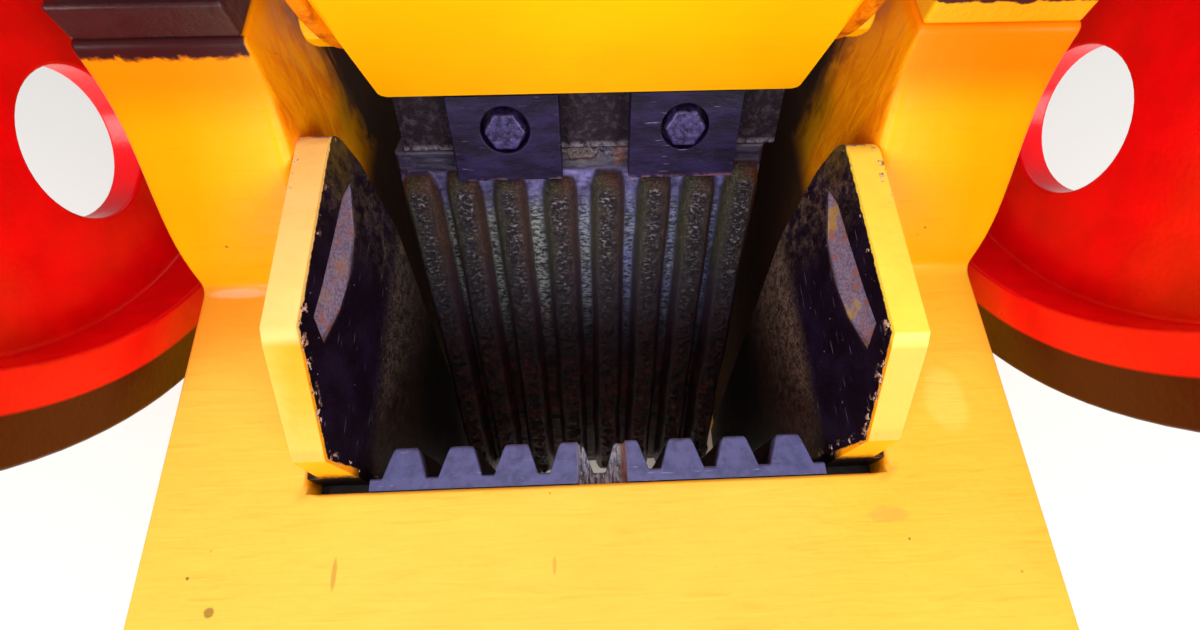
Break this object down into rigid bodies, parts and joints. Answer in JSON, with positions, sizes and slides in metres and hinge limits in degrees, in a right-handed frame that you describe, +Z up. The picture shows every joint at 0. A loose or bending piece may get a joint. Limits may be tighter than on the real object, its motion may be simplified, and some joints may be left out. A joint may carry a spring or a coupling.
{
  "type": "jaw crusher",
  "caption": "Small single toggle jaw crusher: welded frame, toothed fixed and swing jaws, cheek plates, eccentric shaft with flywheel and belt pulley, toggle plate and sprung tension rod.",
  "frame": {"origin": "middle of the foundation bolt pattern, on the floor under the feet", "axes": "+X across the machine to the belt pulley, +Y from the feed deck to the back, +Z up"},
  "size_m": [0.722, 0.698, 0.935],
  "materials": {
    "yellow_paint": "thick brushed gloss enamel over rough casting",
    "dark_paint": "dark enamel, scuffed and dusty",
    "blue_paint": "blue violet enamel on the fixed jaw's end",
    "maroon_paint": "dark maroon enamel",
    "red_paint": "bright red gloss enamel",
    "raw_iron": "dark greasy iron",
    "machined_steel": "turned steel, dull and oily"
  },
  "bodies": {
    "frame": {"front_wall": "yellow_paint", "rear_wall": "yellow_paint", "side_wall_left": "yellow_paint", "side_wall_right": "yellow_paint", "feed_deck": "yellow_paint", "rim_left": "yellow_paint", "rim_right": "yellow_paint", "wall_ribs_left": "yellow_paint", "wall_ribs_right": "yellow_paint", "deck_gussets": "yellow_paint", "foot_left": "yellow_paint", "foot_right": "yellow_paint", "fixed_jaw_plate": "blue_paint", "cheek_plate_left": "dark_paint", "cheek_plate_right": "dark_paint", "bearing_base_left": "maroon_paint", "bearing_base_right": "maroon_paint", "bearing_cap_left": "maroon_paint", "bearing_cap_right": "maroon_paint", "toggle_seat_block": "raw_iron", "adjusting_wedges": "raw_iron", "adjusting_screws": "machined_steel", "toggle_plate": "raw_iron", "rod_bracket": "yellow_paint", "tension_spring": "red_paint"},
    "shaft": {"eccentric_shaft": "machined_steel", "flywheel": "red_paint", "belt_pulley": "red_paint", "shaft_nut_left": "machined_steel", "shaft_nut_right": "machined_steel"},
    "swing_jaw": {"swing_jaw_body": "yellow_paint", "swing_jaw_plate": "dark_paint", "clamp_plate_left": "dark_paint", "clamp_plate_right": "dark_paint", "clamp_bolt_left": "dark_paint", "clamp_bolt_right": "dark_paint", "head_cover_left": "yellow_paint", "head_cover_right": "yellow_paint", "toggle_seat_bar": "raw_iron", "rod_pin": "machined_steel", "tension_rod": "machined_steel", "rod_nuts": "machined_steel"}
  },
  "joints": [
    {"name": "shaft_spin", "type": "hinge", "parent": "frame", "child": "shaft", "pos_m": [0, 0.095, 0.643], "axis": [1, 0, 0], "continuous": true},
    {"name": "jaw_on_eccentric", "type": "hinge", "parent": "shaft", "child": "swing_jaw", "pos_m": [0, 0.095, 0.637], "axis": [1, 0, 0], "continuous": true, "deforming": ["tension_spring"]}
  ],
  "couplings": [
    {"joint": "jaw_on_eccentric", "follows": "shaft_spin", "ratio": -1}
  ]
}
